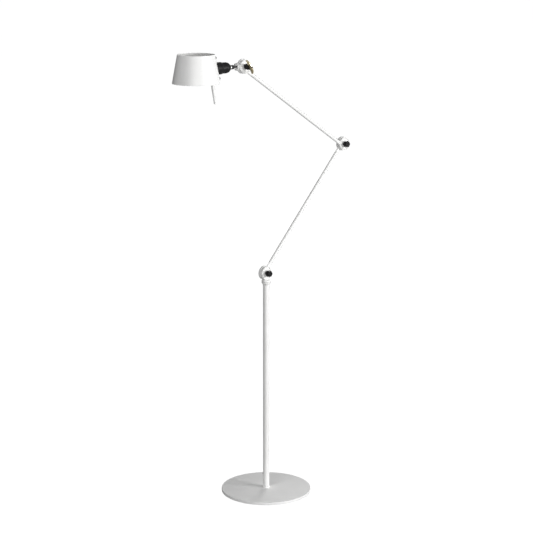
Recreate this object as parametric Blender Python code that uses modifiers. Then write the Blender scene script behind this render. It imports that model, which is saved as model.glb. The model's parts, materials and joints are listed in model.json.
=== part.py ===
"""Adjustable arm floor lamp: a round steel base, a pole, two arms on clamped disc joints and a small
open shade. Metres, +Z up, origin at the centre of the underside. The arms move in the XZ plane, the
elbow points to +X, the shade to -X, and every clamping knob is on the -Y side."""

import math

import bmesh
import bpy
from mathutils import Matrix, Vector

# Driving dimensions.
BASE_RADIUS = 0.175
BASE_TOP = 0.012
PAD_RADIUS = 0.168
PAD_THICKNESS = 0.0014
POLE_RADIUS = 0.0125
POLE_WALL = 0.0015
POLE_TOP = 0.833
SEAM_Z = 0.8435
INLET_Z = 0.066
SPIGOT_LOW = 0.786
SPIGOT_RADIUS = 0.0088
COLLAR_RADIUS = 0.0178
KNEE_Z = 0.877
ARM_LENGTH = 0.615
LOWER_ARM_RISE = math.radians(48.35)
UPPER_ARM_RISE = math.radians(33.15)
ARM_RADIUS = 0.0070
ARM_WALL = 0.0012
UPPER_TUBE_DROP = 0.008
GAP = 0.0003

# Disc joints: front discs lie on y = 0, back discs behind them, a friction ring between.
FRONT_DISC_RADIUS = 0.0252
BACK_DISC_RADIUS = 0.0270
DISC_THICKNESS = 0.0092
BACK_Y = 0.0104
DISC_WALL = 0.0022
DISC_FACE = 0.0020
BOSS_RADIUS = 0.0066
BOLT_RADIUS = 0.0029
BORE_RADIUS = 0.0032
LEAD_RADIUS = 0.0021
LEAD_HOLE = 0.0027
FRICTION_RING_RADIUS = 0.0225
WASHER_RADIUS = 0.0088
KNOB_RADIUS = 0.0124
KNOB_START = -0.0064
KNOB_END = -0.0250
NUT_BORE_DEPTH = 0.0128
BOLT_TAIL = KNOB_START - 0.0120
HUB_RADIUS = 0.0110
WING_HALF_SPAN = 0.030
WING_DEPTH = 0.0165
WING_THICKNESS = 0.0044
WING_LEAN = math.radians(30.0)

# Lamp head: distances are measured from the head joint toward the shade.
STEM_RADIUS = 0.0030
BELL_RADIUS = 0.0142
BELL_START = 0.0257
BELL_MOUTH = 0.0330
NUT_START = 0.0466
NUT_END = 0.0590
NECK_END = 0.0676
DOME_LENGTH = 0.017
HOLDER_RADIUS = 0.0203
SKIRT_RADIUS = 0.0225
SKIRT_START = 0.1065
SHADE_DISTANCE = 0.2224
SHADE_TOP_RADIUS = 0.0683
SHADE_BOTTOM_RADIUS = 0.0878
SHADE_HEIGHT = 0.1037
SHADE_RISE = 0.0566
SHADE_WALL = 0.0012
SADDLE_THICKNESS = 0.0015
BULB_HOLE_RADIUS = 0.0165
SHADE_BOLT_ANGLE = math.radians(27.0)
SHADE_BOLT_HEIGHTS = (0.0425, -0.0315)
HANDLE_RADIUS = 0.0068
HANDLE_TIP_RADIUS = 0.0044
HANDLE_TOP = -0.043
HANDLE_LENGTH = 0.087
HANDLE_LEAN = math.radians(9.0)

SEGMENTS = 20
FINE_SEGMENTS = 28

KNEE = Vector((0.0, 0.0, KNEE_Z))
ELBOW = KNEE + ARM_LENGTH * Vector((math.cos(LOWER_ARM_RISE), 0.0, math.sin(LOWER_ARM_RISE)))
HEAD = ELBOW + ARM_LENGTH * Vector((-math.cos(UPPER_ARM_RISE), 0.0, math.sin(UPPER_ARM_RISE)))

UP = (0.0, 0.0, 0.0)
FORWARD = (math.pi / 2, 0.0, 0.0)
BACKWARD = (-math.pi / 2, 0.0, 0.0)
ALONG_X = (0.0, math.pi / 2, 0.0)
TO_SHADE = (0.0, -math.pi / 2, 0.0)


def clear_scene():
    for obj in list(bpy.data.objects):
        bpy.data.objects.remove(obj, do_unlink=True)


def new_collection(name):
    collection = bpy.data.collections.new(name)
    bpy.context.scene.collection.children.link(collection)
    return collection


clear_scene()
PARTS = new_collection("adjustable_arm_floor_lamp")
CUTTERS = new_collection("cutters")
CUTTERS.hide_render = True


def make_material(name, colour, roughness, metallic=0.0):
    material = bpy.data.materials.new(name)
    material.use_nodes = True
    shader = material.node_tree.nodes["Principled BSDF"]
    shader.inputs["Base Color"].default_value = (*colour, 1.0)
    shader.inputs["Roughness"].default_value = roughness
    shader.inputs["Metallic"].default_value = metallic
    return material


WHITE_PAINT = make_material("white_powder_coat", (0.86, 0.86, 0.85), 0.45)
BLACK_PLASTIC = make_material("black_plastic", (0.02, 0.02, 0.02), 0.40)
BRASS = make_material("brass", (0.80, 0.62, 0.28), 0.30, 1.0)
BRIGHT_STEEL = make_material("bright_steel", (0.70, 0.70, 0.70), 0.28, 1.0)
BLACK_STEEL = make_material("black_steel", (0.03, 0.03, 0.03), 0.45, 0.6)
FELT = make_material("felt", (0.10, 0.10, 0.10), 0.95)
GREY_NYLON = make_material("grey_nylon", (0.45, 0.45, 0.45), 0.55)
CABLE_SHEATH = make_material("cable_sheath", (0.80, 0.80, 0.78), 0.60)
FROSTED_GLASS = make_material("frosted_glass", (0.92, 0.92, 0.90), 0.35)


def place(obj, material, parent, location, rotation):
    PARTS.objects.link(obj)
    obj.data.materials.append(material)
    obj.parent = parent
    obj.location = location
    obj.rotation_euler = rotation
    return obj


def new_axis(name, location, rotation=UP):
    """An empty on a joint's axis, which carries the pieces that move about it."""
    empty = bpy.data.objects.new(name, None)
    PARTS.objects.link(empty)
    empty.location = location
    empty.rotation_euler = rotation
    return empty


def turned(name, profile, material, parent=None, at=(0, 0, 0), turn=UP, ring=False, steps=SEGMENTS):
    """A turned piece. The profile holds (radius, height) points and runs down its outer side."""
    mesh = bpy.data.meshes.new(name)
    edges = [(i, i + 1) for i in range(len(profile) - 1)]
    if ring:
        edges.append((len(profile) - 1, 0))
    mesh.from_pydata([(radius, 0.0, height) for radius, height in profile], edges, [])
    obj = place(bpy.data.objects.new(name, mesh), material, parent, at, turn)
    screw = obj.modifiers.new("Turn", "SCREW")
    screw.steps = steps
    screw.render_steps = steps
    screw.use_merge_vertices = True
    screw.merge_threshold = 0.00001
    return obj


def arc(centre, radius, start, end, count):
    """Points on an arc in (radius, height), angles in degrees."""
    angles = [math.radians(start + (end - start) * i / (count - 1)) for i in range(count)]
    return [(centre[0] + radius * math.cos(a), centre[1] + radius * math.sin(a)) for a in angles]


def rod_profile(radius, low, high):
    """A solid rod from low to high."""
    return [(0.0, high), (radius, high), (radius, low), (0.0, low)]


def ring_profile(inner, outer, low, high, edge=0.0):
    """A ring of rectangular section, with the outer edges chamfered."""
    if not edge:
        return [(inner, high), (outer, high), (outer, low), (inner, low)]
    return [(inner, high), (outer - edge, high), (outer, high - edge),
            (outer, low + edge), (outer - edge, low), (inner, low)]


def cutter_rod(start, end, radius, parent=None, sides=16):
    """A cylinder from start to end that only cuts."""
    start = Vector(start)
    axis = Vector(end) - start
    body = bmesh.new()
    bmesh.ops.create_cone(body, cap_ends=True, segments=sides, radius1=radius, radius2=radius,
                          depth=axis.length)
    turn = axis.to_track_quat("Z", "Y").to_matrix().to_4x4()
    bmesh.ops.transform(body, matrix=Matrix.Translation(start + axis / 2) @ turn, verts=body.verts)
    return cutter_from(body, parent)


def cutter_from(body, parent):
    mesh = bpy.data.meshes.new("cutter")
    body.to_mesh(mesh)
    body.free()
    obj = bpy.data.objects.new("cutter", mesh)
    CUTTERS.objects.link(obj)
    obj.parent = parent
    obj.hide_render = True
    obj.display_type = "WIRE"
    return obj


def block(size, centre):
    """A box as loose mesh code, for a cutter or for a piece to be joined."""
    body = bmesh.new()
    bmesh.ops.create_cube(body, size=1.0)
    bmesh.ops.scale(body, vec=size, verts=body.verts)
    bmesh.ops.translate(body, vec=centre, verts=body.verts)
    return body


def combine(obj, other, operation="DIFFERENCE"):
    modifier = obj.modifiers.new(operation.title(), "BOOLEAN")
    modifier.operation = operation
    modifier.object = other
    return obj


def settle(obj):
    """Turns the modifiers' result into the object's own mesh."""
    bpy.context.view_layer.update()
    evaluated = obj.evaluated_get(bpy.context.evaluated_depsgraph_get())
    mesh = bpy.data.meshes.new_from_object(evaluated)
    obj.modifiers.clear()
    obj.data = mesh
    mesh.name = obj.name
    return obj


def as_helper(obj):
    """Takes a piece out of the lamp, to be joined to another or to cut it."""
    PARTS.objects.unlink(obj)
    CUTTERS.objects.link(obj)
    obj.hide_render = True
    obj.display_type = "WIRE"
    return obj


# Base and pole.

def make_base():
    low = PAD_THICKNESS + GAP
    plate = [(0.0056, BASE_TOP), (BASE_RADIUS - 0.0018, BASE_TOP), (BASE_RADIUS - 0.0005, BASE_TOP - 0.0005),
             (BASE_RADIUS, BASE_TOP - 0.0018), (BASE_RADIUS, low + 0.0008), (BASE_RADIUS - 0.0008, low),
             (0.0105, low), (0.0105, 0.0068), (0.0056, 0.0068)]
    turned("base_plate", plate, WHITE_PAINT, ring=True, steps=56)
    turned("base_pad", rod_profile(PAD_RADIUS, 0.0, PAD_THICKNESS), FELT, steps=48)
    bolt = [(0.0, 0.040), (0.0044, 0.040), (0.0048, 0.0396), (0.0048, 0.0065), (0.0096, 0.0065),
            (0.0096, low), (0.0040, low), (0.0040, 0.0045), (0.0, 0.0045)]
    turned("base_bolt", bolt, BRIGHT_STEEL, steps=16)


def make_pole():
    bottom = BASE_TOP + GAP
    inner = POLE_RADIUS - POLE_WALL
    tube = turned("pole_tube", ring_profile(inner, POLE_RADIUS, bottom, POLE_TOP), WHITE_PAINT,
                  ring=True, steps=FINE_SEGMENTS)
    combine(tube, cutter_rod((0, 0.006, INLET_Z), (0, 0.020, INLET_Z), 0.0043))
    turned("pole_plug", ring_profile(0.0051, inner - GAP, bottom, 0.046, 0.001), BRIGHT_STEEL, ring=True)
    foot = [(POLE_RADIUS + GAP, 0.0180), (0.0140, 0.0180), (0.0146, 0.0174), (0.0150, bottom),
            (POLE_RADIUS + GAP, bottom)]
    turned("pole_foot_ring", foot, WHITE_PAINT, ring=True)
    turned("pole_lead", rod_profile(LEAD_RADIUS, 0.054, KNEE_Z - 0.0145), CABLE_SHEATH, steps=10)
    grommet = [(0.0024, 0.0150), (0.0050, 0.0150), (0.0056, 0.0144), (0.0056, 0.0128), (0.0039, 0.0128),
               (0.0039, 0.0098), (0.0024, 0.0098)]
    turned("cord_grommet", grommet, BLACK_PLASTIC, at=(0, 0, INLET_Z), turn=BACKWARD, ring=True, steps=16)


def make_swivel(axis):
    """The collar stays on the pole. The knuckle above its seam turns on a spigot inside the bush."""
    bore = SPIGOT_RADIUS + GAP
    collar = [(bore, SEAM_Z), (COLLAR_RADIUS - 0.0006, SEAM_Z)]
    collar += arc((COLLAR_RADIUS - 0.0074, SEAM_Z - 0.0026), 0.0074, 20, -62, 4)
    collar += [(POLE_RADIUS + 0.0009, SEAM_Z - 0.0130), (POLE_RADIUS + GAP, SEAM_Z - 0.0130),
               (POLE_RADIUS + GAP, POLE_TOP + GAP), (bore, POLE_TOP + GAP)]
    turned("pole_collar", collar, WHITE_PAINT, ring=True, steps=FINE_SEGMENTS)
    bush = ring_profile(bore, POLE_RADIUS - POLE_WALL - GAP, SPIGOT_LOW + 0.006, POLE_TOP)
    turned("swivel_bush", bush, GREY_NYLON, ring=True)

    low = SPIGOT_LOW - SEAM_Z
    knee = KNEE_Z - SEAM_Z
    top = 0.0078
    spigot = [(0.0, top), (0.0118, top)]
    spigot += arc((COLLAR_RADIUS - 0.0056, GAP + 0.0020), 0.0056, 66, -14, 5)
    spigot += [(COLLAR_RADIUS - 0.0012, GAP), (SPIGOT_RADIUS, GAP), (SPIGOT_RADIUS, low), (0.0, low)]
    knuckle = turned("pole_knuckle", spigot, WHITE_PAINT, parent=axis, steps=FINE_SEGMENTS)
    settle(knuckle)
    disc = cup_disc("knuckle_disc", FRONT_DISC_RADIUS, axis, (0, 0, knee), FORWARD)
    tongue = cutter_from(block((0.020, DISC_THICKNESS - 0.0002, 0.014), (0, 0, 0.0110)), axis)
    mate = cutter_rod((0, 0.0048, knee), (0, 0.030, knee), BACK_DISC_RADIUS + 2 * GAP, axis, FINE_SEGMENTS)
    axle = cutter_rod((0, -0.01, knee), (0, 0.01, knee), BORE_RADIUS, axis)
    lead_bore = cutter_rod((0, 0, low - 0.01), (0, 0, knee - 0.0130), LEAD_HOLE, axis)
    combine(knuckle, mate)
    combine(knuckle, tongue, "UNION")
    combine(knuckle, as_helper(settle(disc)), "UNION")
    combine(knuckle, lead_bore)
    combine(knuckle, axle)
    settle(knuckle)
    clip = ring_profile(SPIGOT_RADIUS - 0.0022, SPIGOT_RADIUS + 0.0016, 0, 0.0012)
    clip = turned("swivel_circlip", clip, BLACK_STEEL, axis, (0, 0, low - 0.0015), ring=True, steps=16)
    combine(clip, cutter_from(block((0.014, 0.005, 0.01), (0.007, 0, low)), axis))


# Disc joints.

def cup_disc(name, radius, parent, location, turn):
    """A pressed disc, hollow and open toward the disc that it is clamped to."""
    half = DISC_THICKNESS / 2
    floor = half - DISC_FACE
    profile = [(BORE_RADIUS, half), (radius - 0.0016, half), (radius - 0.0004, half - 0.0005),
               (radius, half - 0.0016), (radius, -half), (radius - DISC_WALL, -half),
               (radius - DISC_WALL, floor), (BOSS_RADIUS, floor), (BOSS_RADIUS, -half), (BORE_RADIUS, -half)]
    return turned(name, profile, WHITE_PAINT, parent, location, turn, ring=True, steps=FINE_SEGMENTS)


def make_clamp(joint, parent):
    """The bolt, the friction ring and the washer that clamp one joint."""
    front = DISC_THICKNESS / 2 + GAP
    back = BACK_Y + front
    bolt = [(0.0, back + 0.0042), (0.0040, back + 0.0038), (0.0072, back + 0.0024), (0.0080, back + 0.0008),
            (0.0080, back), (BOLT_RADIUS, back), (BOLT_RADIUS, BOLT_TAIL + 0.0006),
            (BOLT_RADIUS - 0.0006, BOLT_TAIL), (0.0, BOLT_TAIL)]
    turned(joint + "_bolt", bolt, BRIGHT_STEEL, parent, turn=BACKWARD)
    turned(joint + "_friction_ring", ring_profile(BORE_RADIUS, FRICTION_RING_RADIUS, front, front + 2 * GAP),
           GREY_NYLON, parent, turn=BACKWARD, ring=True)
    turned(joint + "_washer", ring_profile(BORE_RADIUS, WASHER_RADIUS, front, front + 0.0012), BLACK_STEEL,
           parent, turn=FORWARD, ring=True)


def make_knob(name, parent):
    """A six-sided black knob with rounded corners and a blind bore."""
    depth = KNOB_START - KNOB_END
    profile = [(0.0, depth), (KNOB_RADIUS * 0.72, depth), (KNOB_RADIUS * 0.90, depth - 0.0012),
               (KNOB_RADIUS, depth - 0.0040), (KNOB_RADIUS, 0.0048), (KNOB_RADIUS * 0.80, 0.0022),
               (KNOB_RADIUS * 0.74, 0.0), (BORE_RADIUS, 0.0), (BORE_RADIUS, NUT_BORE_DEPTH),
               (0.0, NUT_BORE_DEPTH)]
    knob = turned(name, profile, BLACK_PLASTIC, parent, (0, KNOB_START, 0), FORWARD)
    settle(knob)
    for vertex in knob.data.vertices:
        reach = math.hypot(vertex.co.x, vertex.co.y)
        if reach > KNOB_RADIUS * 0.6:
            lobe = 1.0 - 0.045 * (1.0 - math.cos(6 * math.atan2(vertex.co.y, vertex.co.x)))
            vertex.co.x *= lobe
            vertex.co.y *= lobe
    return knob


def make_wing_nut(parent):
    """A black hub that carries a half-moon wing of brass, with the end of its screw showing."""
    depth = KNOB_START - KNOB_END
    hub = [(0.0, depth), (0.0094, depth), (HUB_RADIUS - 0.0004, depth - 0.0016), (HUB_RADIUS, 0.0030),
           (0.0096, 0.0), (BORE_RADIUS, 0.0), (BORE_RADIUS, NUT_BORE_DEPTH), (0.0, NUT_BORE_DEPTH)]
    turned("wing_hub", hub, BLACK_PLASTIC, parent, (0, KNOB_START, 0), FORWARD)
    wing_y = KNOB_END - GAP
    wing = place(bpy.data.objects.new("wing_plate", half_moon()), BRASS, parent, (0, wing_y, 0),
                 (0, -WING_LEAN, 0))
    edge = wing.modifiers.new("Edge", "BEVEL")
    edge.width = 0.0007
    edge.segments = 1
    screw = [(0.0, 0.0016), (0.0022, 0.0014), (0.0030, 0.0), (0.0, 0.0)]
    turned("wing_screw", screw, BLACK_STEEL, parent, (0, wing_y - WING_DEPTH - GAP, 0), FORWARD, steps=12)


def half_moon():
    """Half of a flat disc that lies across X, squashed along Y, with its straight side at y = 0."""
    body = bmesh.new()
    bmesh.ops.create_cone(body, cap_ends=True, segments=40, radius1=WING_HALF_SPAN, radius2=WING_HALF_SPAN,
                          depth=WING_THICKNESS, matrix=Matrix.Rotation(math.pi / 2, 4, "Y"))
    bmesh.ops.bisect_plane(body, geom=body.verts[:] + body.edges[:] + body.faces[:], plane_co=(0, 0, 0),
                           plane_no=(0, -1, 0), clear_inner=True)
    bmesh.ops.contextual_create(body, geom=[edge for edge in body.edges if edge.is_boundary])
    bmesh.ops.recalc_face_normals(body, faces=body.faces)
    bmesh.ops.scale(body, vec=(1, WING_DEPTH / WING_HALF_SPAN, 1), verts=body.verts)
    mesh = bpy.data.meshes.new("wing_plate")
    body.to_mesh(mesh)
    body.free()
    return mesh


# Arms.

def make_arm(prefix, axis, disc_y, disc_radius, disc_turn, drop):
    """A tube pressed flat at both ends and welded between two discs. Local +X runs along the arm."""
    ends = {"root": 0.0, "tip": ARM_LENGTH}
    stations = (0.015, 0.036, 0.052)
    heights = [ARM_LENGTH - s for s in stations] + list(reversed(stations))
    outer = [(ARM_RADIUS, h) for h in heights]
    inner = [(ARM_RADIUS - ARM_WALL, h) for h in reversed(heights)]
    tube = turned(prefix + "_tube", outer + inner, WHITE_PAINT, axis, (0, disc_y, drop), ALONG_X, ring=True)
    settle(tube)
    flat = (DISC_THICKNESS / 2) / ARM_RADIUS
    for vertex in tube.data.vertices:
        if min(vertex.co.z, ARM_LENGTH - vertex.co.z) < 0.5 * (stations[1] + stations[2]):
            vertex.co.y *= flat
    for end, along in ends.items():
        cope = cutter_rod((along, disc_y - 0.02, 0), (along, disc_y + 0.02, 0), disc_radius + GAP, axis,
                          FINE_SEGMENTS)
        combine(tube, cope)
        disc = cup_disc(f"{prefix}_{end}_disc", disc_radius, axis, (along, disc_y, 0), disc_turn)
        side = 1 if end == "root" else -1
        combine(disc, cutter_rod((along + side * 0.018, disc_y, drop), (along + side * 0.032, disc_y, drop),
                                 LEAD_HOLE, axis, 12))
    start = 0.0120
    turned(prefix + "_lead", rod_profile(LEAD_RADIUS, start, ARM_LENGTH - start), CABLE_SHEATH, axis,
           (0, disc_y, drop), ALONG_X, steps=10)


# Lamp head, along -X from the head joint.

def make_head(axis):
    disc = settle(cup_disc("head_disc", BACK_DISC_RADIUS, axis, (0, BACK_Y, 0), BACKWARD))
    wall = 0.0015
    bell = [(0.0, BELL_MOUTH), (BELL_RADIUS, BELL_MOUTH)]
    bell += arc((BELL_RADIUS - 0.0045, BELL_START + 0.0045), 0.0045, 0, -90, 4)
    bell += [(0.0, BELL_START)]
    shell = settle(turned("bell", bell, WHITE_PAINT, axis, (0, BACK_Y, 0), TO_SHADE))
    hollow = [(0.0, BELL_MOUTH + 0.002), (BELL_RADIUS - wall, BELL_MOUTH + 0.002)]
    hollow += arc((BELL_RADIUS - 0.0045, BELL_START + 0.0045 + wall), 0.0045 - wall, 0, -90, 3)
    hollow += [(0.0, BELL_START + 2 * wall)]
    inside = settle(turned("bell_hollow", hollow, WHITE_PAINT, axis, (0, BACK_Y, 0), TO_SHADE))
    combine(disc, as_helper(shell), "UNION")
    combine(disc, as_helper(inside))
    combine(disc, cutter_rod((-0.016, BACK_Y, 0), (-BELL_MOUTH, BACK_Y, 0), STEM_RADIUS + GAP, axis))
    settle(disc)
    stem = ring_profile(0.0016, STEM_RADIUS, 0.0215, NECK_END + 0.0040)
    turned("swivel_stem", stem, BLACK_STEEL, axis, (0, BACK_Y, 0), TO_SHADE, ring=True, steps=16)


def wall_radius(height):
    """The shade's outer radius at a height above the holder's axis."""
    share = (SHADE_RISE - height) / SHADE_HEIGHT
    return SHADE_TOP_RADIUS + (SHADE_BOTTOM_RADIUS - SHADE_TOP_RADIUS) * share


def shade_line(inset, low, high):
    return [(wall_radius(high) - inset, high), (wall_radius(low) - inset, low)]


def make_holder(axis):
    """The holder's parts, turned about the roll axis. Heights run toward the shade."""
    inner = STEM_RADIUS + GAP
    turned("gland_nut", ring_profile(inner, 0.0080, NUT_START, NUT_END, 0.0008), BLACK_PLASTIC, axis,
           turn=TO_SHADE, ring=True, steps=6 * 3)
    turned("neck_bush", ring_profile(inner, 0.0088, NUT_END + GAP, NECK_END, 0.0008), BRIGHT_STEEL, axis,
           turn=TO_SHADE, ring=True)
    dome_end = NECK_END + GAP + DOME_LENGTH
    cap = [(HOLDER_RADIUS - 0.0022, SKIRT_START - GAP), (HOLDER_RADIUS, SKIRT_START - GAP),
           (HOLDER_RADIUS, dome_end)]
    cap += dome_points(HOLDER_RADIUS, 0.0088, dome_end, DOME_LENGTH)
    cap += [(inner, NECK_END + GAP), (inner, NECK_END + 0.0045)]
    cap += [(0.0110, NECK_END + 0.0060), (HOLDER_RADIUS - 0.0022, dome_end + 0.001)]
    turned("holder_cap", cap, BLACK_PLASTIC, axis, turn=TO_SHADE, ring=True)
    past_wall = SHADE_DISTANCE - SHADE_TOP_RADIUS + 0.010
    skirt = ring_profile(0.0186, SKIRT_RADIUS, SKIRT_START, past_wall, 0.0010)
    skirt = settle(turned("holder_skirt", skirt, BLACK_PLASTIC, axis, turn=TO_SHADE, ring=True))
    cone = turned("shade_cone", [(0.0, 0.06)] + shade_line(-GAP, -0.05, 0.06) + [(0.0, -0.05)],
                  WHITE_PAINT, axis, (-SHADE_DISTANCE, 0, 0), steps=96)
    cone = as_helper(settle(cone))
    combine(skirt, cone)
    settle(skirt)
    turned("holder_insert", ring_profile(0.0146, 0.0183, SKIRT_START + GAP, 0.1300), BLACK_PLASTIC,
           axis, turn=TO_SHADE, ring=True, steps=20)
    turned("screw_shell", ring_profile(0.0136, 0.0143, SKIRT_START + 0.0035, 0.1290), BRASS, axis,
           turn=TO_SHADE, ring=True, steps=20)
    turned("centre_contact", rod_profile(0.0040, SKIRT_START + 0.0005, SKIRT_START + 0.0040), BRASS, axis,
           turn=TO_SHADE, steps=10)


def dome_points(big, small, base, length):
    """A quarter of an ellipse from the holder's body in to its neck."""
    angles = [math.radians(a) for a in (18, 36, 54, 72, 90)]
    return [(small + (big - small) * math.cos(a), base - length * math.sin(a)) for a in angles]


def make_bulb(axis):
    start = SKIRT_START + 0.0045
    cap_end = start + 0.0270
    cap = [(0.0, cap_end), (0.0130, cap_end), (0.0130, start + 0.006), (0.0060, start + 0.0012),
           (0.0048, start), (0.0, start)]
    turned("bulb_cap", cap, BRIGHT_STEEL, axis, turn=TO_SHADE, steps=20)
    low = cap_end + GAP
    ball = 0.0290
    centre = low + 0.0500
    glass = arc((0.0, centre), ball, 90, -38, 8)
    glass += [(0.0150, low + 0.0180), (0.0126, low + 0.0060), (0.0126, low)]
    glass[0] = (0.0, centre + ball)
    bulb = turned("bulb_glass", glass, FROSTED_GLASS, axis, turn=TO_SHADE, steps=16)
    shell = bulb.modifiers.new("Shell", "SOLIDIFY")
    shell.thickness = 0.0008
    shell.offset = -1.0


def shade_bolt_places():
    """Each bolt's foot on the wall and its outward direction, in the shade's frame."""
    lean = math.atan2(SHADE_BOTTOM_RADIUS - SHADE_TOP_RADIUS, SHADE_HEIGHT)
    for height in SHADE_BOLT_HEIGHTS:
        for angle in (-SHADE_BOLT_ANGLE, SHADE_BOLT_ANGLE):
            radius = wall_radius(height)
            out = Vector((math.cos(lean) * math.cos(angle), math.cos(lean) * math.sin(angle), math.sin(lean)))
            yield Vector((radius * math.cos(angle), radius * math.sin(angle), height)), out


def make_shade(axis):
    """The open shade, the saddle inside its wall, four bolts and the handle. The axis is the shade's."""
    low = SHADE_RISE - SHADE_HEIGHT
    shade = turned("shade", shade_line(0, low, SHADE_RISE), WHITE_PAINT, axis, steps=48)
    shell = shade.modifiers.new("Wall", "SOLIDIFY")
    shell.thickness = SHADE_WALL
    shell.offset = -1.0
    holes = [cutter_rod((0.05, 0, 0), (0.10, 0, 0), BULB_HOLE_RADIUS, axis, 24)]
    for foot, out in shade_bolt_places():
        holes.append(cutter_rod(foot - 0.006 * out, foot + 0.006 * out, 0.0025, axis, 10))
    saddle = make_saddle(axis)
    for hole in holes:
        combine(shade, hole)
        combine(saddle, hole)
    settle(shade)
    settle(saddle)
    for number, (foot, out) in enumerate(shade_bolt_places(), 1):
        bolt = [(0.0, 0.0052), (0.0030, 0.0050), (0.0044, 0.0040), (0.0047, 0.0026), (0.0047, GAP + 0.0001),
                (0.0022, GAP + 0.0001), (0.0022, -0.0034), (0.0, -0.0034)]
        turn = out.to_track_quat("Z", "Y").to_euler()
        turned(f"shade_bolt_{number}", bolt, BLACK_STEEL, axis, foot, turn, steps=12)
    make_handle(axis)


def make_saddle(axis):
    """A curved plate against the inside of the wall, with a tab at the foot for the handle."""
    inset = SHADE_WALL + GAP
    line = shade_line(inset, -0.0435, 0.0435)
    saddle = turned("shade_saddle", line, WHITE_PAINT, axis, turn=(0, 0, -math.radians(38)), steps=16)
    screw = saddle.modifiers["Turn"]
    screw.angle = math.radians(76)
    shell = saddle.modifiers.new("Plate", "SOLIDIFY")
    shell.thickness = SADDLE_THICKNESS
    shell.offset = -1.0
    settle(saddle)
    depth = 0.0205
    outer = wall_radius(HANDLE_TOP) - inset - 0.0006
    tab = block((depth, 0.015, 0.0020), (outer - depth / 2, 0, HANDLE_TOP + 0.0013))
    combine(saddle, cutter_from(tab, axis), "UNION")
    top = handle_top()
    combine(saddle, cutter_rod((top.x, 0, top.z - 0.002), (top.x, 0, top.z + 0.006), 0.0022, axis, 10))
    return saddle


def handle_top():
    return Vector((wall_radius(HANDLE_TOP) - 0.0120, 0.0, HANDLE_TOP))


def make_handle(axis):
    top = handle_top()
    clear = 0.0015
    profile = [(0.0, -clear), (HANDLE_RADIUS - 0.0006, -clear), (HANDLE_RADIUS, -clear - 0.0006),
               (HANDLE_TIP_RADIUS, -HANDLE_LENGTH + 0.0030),
               (HANDLE_TIP_RADIUS * 0.72, -HANDLE_LENGTH + 0.0008), (0.0, -HANDLE_LENGTH)]
    turned("handle_rod", profile, WHITE_PAINT, axis, top, (0, -HANDLE_LEAN, 0), steps=20)
    screw = [(0.0, 0.0048), (0.0026, 0.0044), (0.0034, 0.0028), (0.0034, 0.0026), (0.0018, 0.0026),
             (0.0018, 0.0008), (0.0, 0.0008)]
    turned("handle_screw", screw, BLACK_STEEL, axis, top, steps=10)


def finish_meshes():
    """Every piece is a plain mesh, shaded smooth with its real edges sharp."""
    for obj in list(PARTS.objects):
        if obj.type == "MESH":
            if obj.modifiers:
                settle(obj)
            obj.data.shade_smooth()
            obj.data.set_sharp_from_angle(angle=math.radians(32))


def build():
    swivel_axis = new_axis("swivel_axis", (0, 0, SEAM_Z))
    knee_axis = new_axis("knee_axis", KNEE)
    elbow_axis = new_axis("elbow_axis", ELBOW)
    head_axis = new_axis("head_axis", HEAD)
    lower_axis = new_axis("lower_arm_axis", KNEE, (0, -LOWER_ARM_RISE, 0))
    upper_axis = new_axis("upper_arm_axis", ELBOW, (0, UPPER_ARM_RISE - math.pi, 0))
    roll_axis = new_axis("roll_axis", HEAD + Vector((0, BACK_Y, 0)))
    shade_axis = new_axis("shade_axis", HEAD + Vector((-SHADE_DISTANCE, BACK_Y, 0)))
    make_base()
    make_pole()
    make_swivel(swivel_axis)
    make_arm("lower_arm", lower_axis, BACK_Y, BACK_DISC_RADIUS, BACKWARD, 0.0)
    make_arm("upper_arm", upper_axis, 0.0, FRONT_DISC_RADIUS, FORWARD, UPPER_TUBE_DROP)
    for joint, axis in (("knee", knee_axis), ("elbow", elbow_axis), ("head", head_axis)):
        make_clamp(joint, axis)
    make_knob("knee_knob", knee_axis)
    make_knob("elbow_knob", elbow_axis)
    make_wing_nut(head_axis)
    make_head(head_axis)
    make_holder(roll_axis)
    make_bulb(roll_axis)
    make_shade(shade_axis)
    finish_meshes()


build()
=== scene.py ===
import json
import math

import bmesh
import bpy
from mathutils import Euler, Matrix, Vector
from mathutils.geometry import interpolate_bezier


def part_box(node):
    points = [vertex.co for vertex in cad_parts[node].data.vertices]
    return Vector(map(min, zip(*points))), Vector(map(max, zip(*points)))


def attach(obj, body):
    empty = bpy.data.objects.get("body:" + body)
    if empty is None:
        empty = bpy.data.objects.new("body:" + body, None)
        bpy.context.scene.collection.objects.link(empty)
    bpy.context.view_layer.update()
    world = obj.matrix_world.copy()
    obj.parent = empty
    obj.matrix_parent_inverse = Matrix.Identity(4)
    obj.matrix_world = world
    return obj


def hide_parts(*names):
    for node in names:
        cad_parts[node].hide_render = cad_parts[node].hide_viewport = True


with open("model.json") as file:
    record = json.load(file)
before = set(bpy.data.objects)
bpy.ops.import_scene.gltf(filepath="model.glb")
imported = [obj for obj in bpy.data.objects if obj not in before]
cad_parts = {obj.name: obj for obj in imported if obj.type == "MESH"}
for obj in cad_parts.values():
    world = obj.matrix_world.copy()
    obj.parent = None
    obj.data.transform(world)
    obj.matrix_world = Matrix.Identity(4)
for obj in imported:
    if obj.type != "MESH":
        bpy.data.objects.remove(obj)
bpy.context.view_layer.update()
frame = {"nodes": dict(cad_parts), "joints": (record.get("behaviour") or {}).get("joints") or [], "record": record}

# Adjustable arm floor lamp: the fine surface of every visible piece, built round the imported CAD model.
# Metres, +Z up. The arms move in the XZ plane, the knobs are on the -Y side, the shade hangs toward -X.

BODY_OF = {node: body for body, nodes in frame["record"]["behaviour"]["bodies"].items() for node in nodes}
SLOT_OF = {part["node"]: part["material_slot"] for part in frame["record"]["subparts"]}
JOINT_AT = {joint["name"]: Vector(joint["pos_m"]) for joint in frame["joints"]}


def size_of(node):
    low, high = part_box(node)
    return high - low


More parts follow.
